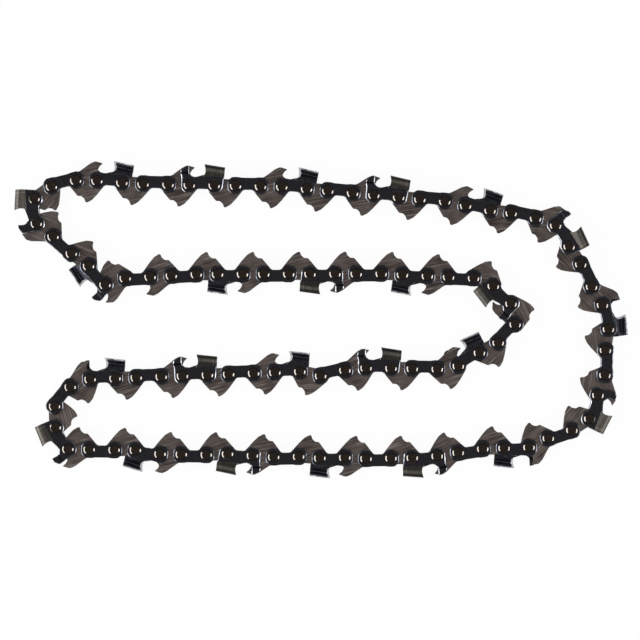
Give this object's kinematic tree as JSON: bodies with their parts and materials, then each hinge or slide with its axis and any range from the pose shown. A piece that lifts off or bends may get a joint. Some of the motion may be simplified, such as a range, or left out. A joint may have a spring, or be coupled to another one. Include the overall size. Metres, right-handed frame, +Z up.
{
  "type": "saw chain loop",
  "caption": "Closed loop of low-profile saw chain lying folded on its side, with drive links, tie straps, rivets and alternate left and right cutters.",
  "frame": {"origin": "on the ground under the middle of the loop as it lies", "axes": "+X along the long runs, +Y across them, +Z up out of the chain's flat side"},
  "size_m": [0.2528, 0.1306, 0.0065],
  "materials": {
    "ground_steel": "ground and tumbled",
    "blued_steel": "blued",
    "rivet_steel": "spun heads",
    "cutter_chrome": "hard chromed over blued steel"
  },
  "bodies": {
    "section_01": {"drive_links_01": "ground_steel", "left_cutters_01": "cutter_chrome", "right_cutters_01": "cutter_chrome", "rivets_01": "rivet_steel", "tie_straps_01": "blued_steel"},
    "section_02": {"drive_links_02": "ground_steel", "left_cutters_02": "cutter_chrome", "right_cutters_02": "cutter_chrome", "rivets_02": "rivet_steel", "tie_straps_02": "blued_steel"},
    "section_03": {"drive_links_03": "ground_steel", "left_cutters_03": "cutter_chrome", "right_cutters_03": "cutter_chrome", "rivets_03": "rivet_steel", "tie_straps_03": "blued_steel"},
    "section_04": {"drive_links_04": "ground_steel", "left_cutters_04": "cutter_chrome", "right_cutters_04": "cutter_chrome", "rivets_04": "rivet_steel", "tie_straps_04": "blued_steel"},
    "section_05": {"drive_links_05": "ground_steel", "left_cutters_05": "cutter_chrome", "right_cutters_05": "cutter_chrome", "rivets_05": "rivet_steel", "tie_straps_05": "blued_steel"},
    "section_06": {"drive_links_06": "ground_steel", "left_cutters_06": "cutter_chrome", "right_cutters_06": "cutter_chrome", "rivets_06": "rivet_steel", "tie_straps_06": "blued_steel"},
    "section_07": {"drive_links_07": "ground_steel", "left_cutters_07": "cutter_chrome", "right_cutters_07": "cutter_chrome", "rivets_07": "rivet_steel", "tie_straps_07": "blued_steel"},
    "section_08": {"drive_links_08": "ground_steel", "left_cutters_08": "cutter_chrome", "right_cutters_08": "cutter_chrome", "rivets_08": "rivet_steel", "tie_straps_08": "blued_steel"},
    "section_09": {"drive_links_09": "ground_steel", "left_cutters_09": "cutter_chrome", "right_cutters_09": "cutter_chrome", "rivets_09": "rivet_steel", "tie_straps_09": "blued_steel"},
    "section_10": {"drive_links_10": "ground_steel", "left_cutters_10": "cutter_chrome", "right_cutters_10": "cutter_chrome", "rivets_10": "rivet_steel", "tie_straps_10": "blued_steel"},
    "section_11": {"drive_links_11": "ground_steel", "left_cutters_11": "cutter_chrome", "right_cutters_11": "cutter_chrome", "rivets_11": "rivet_steel", "tie_straps_11": "blued_steel"},
    "section_12": {"drive_links_12": "ground_steel", "left_cutters_12": "cutter_chrome", "right_cutters_12": "cutter_chrome", "rivets_12": "rivet_steel", "tie_straps_12": "blued_steel"}
  },
  "joints": [
    {"name": "pivot_12_01", "type": "hinge", "parent": "section_12", "child": "section_01", "pos_m": [-0.10127, 0.05745, 0.00325], "axis": [0, 0, 1], "range_deg": [-10, 10]},
    {"name": "pivot_01_02", "type": "hinge", "parent": "section_01", "child": "section_02", "pos_m": [-0.02513, 0.05504, 0.00325], "axis": [0, 0, 1], "range_deg": [-9.71, 9.71]},
    {"name": "pivot_02_03", "type": "hinge", "parent": "section_02", "child": "section_03", "pos_m": [0.05079, 0.04878, 0.00325], "axis": [0, 0, 1], "range_deg": [-6.33, 6.33]},
    {"name": "pivot_03_04", "type": "hinge", "parent": "section_03", "child": "section_04", "pos_m": [0.11129, 0.01364, 0.00325], "axis": [0, 0, 1], "range_deg": [-5.98, 5.98]},
    {"name": "pivot_04_05", "type": "hinge", "parent": "section_04", "child": "section_05", "pos_m": [0.09345, -0.04893, 0.00325], "axis": [0, 0, 1], "range_deg": [-9.4, 9.4]},
    {"name": "pivot_05_06", "type": "hinge", "parent": "section_05", "child": "section_06", "pos_m": [0.01834, -0.05732, 0.00325], "axis": [0, 0, 1], "range_deg": [-8.87, 8.87]},
    {"name": "pivot_12_11", "type": "hinge", "parent": "section_12", "child": "section_11", "pos_m": [-0.02379, 0.01883, 0.00325], "axis": [0, 0, 1], "range_deg": [-9.89, 9.89]},
    {"name": "pivot_11_10", "type": "hinge", "parent": "section_11", "child": "section_10", "pos_m": [0.05238, 0.01766, 0.00325], "axis": [0, 0, 1], "range_deg": [-6.86, 6.86]},
    {"name": "pivot_10_09", "type": "hinge", "parent": "section_10", "child": "section_09", "pos_m": [0.04771, -0.02034, 0.00325], "axis": [0, 0, 1], "range_deg": [-7.32, 7.32]},
    {"name": "pivot_09_08", "type": "hinge", "parent": "section_09", "child": "section_08", "pos_m": [-0.02797, -0.02209, 0.00325], "axis": [0, 0, 1], "range_deg": [-10.16, 10.16]},
    {"name": "pivot_08_07", "type": "hinge", "parent": "section_08", "child": "section_07", "pos_m": [-0.10353, -0.02775, 0.00325], "axis": [0, 0, 1], "range_deg": [-8.32, 8.32]}
  ],
  "couplings": [
    {"joint": "pivot_01_02", "follows": "pivot_12_01", "ratio": -0.96915},
    {"joint": "pivot_02_03", "follows": "pivot_12_01", "ratio": 0.63105},
    {"joint": "pivot_03_04", "follows": "pivot_12_01", "ratio": -0.59682},
    {"joint": "pivot_04_05", "follows": "pivot_12_01", "ratio": 0.9381},
    {"joint": "pivot_05_06", "follows": "pivot_12_01", "ratio": -0.88533},
    {"joint": "pivot_12_11", "follows": "pivot_12_01", "ratio": 0.98722},
    {"joint": "pivot_11_10", "follows": "pivot_12_01", "ratio": -0.68485},
    {"joint": "pivot_10_09", "follows": "pivot_12_01", "ratio": 0.73051},
    {"joint": "pivot_09_08", "follows": "pivot_12_01", "ratio": -1.0143},
    {"joint": "pivot_08_07", "follows": "pivot_12_01", "ratio": 0.83007}
  ]
}
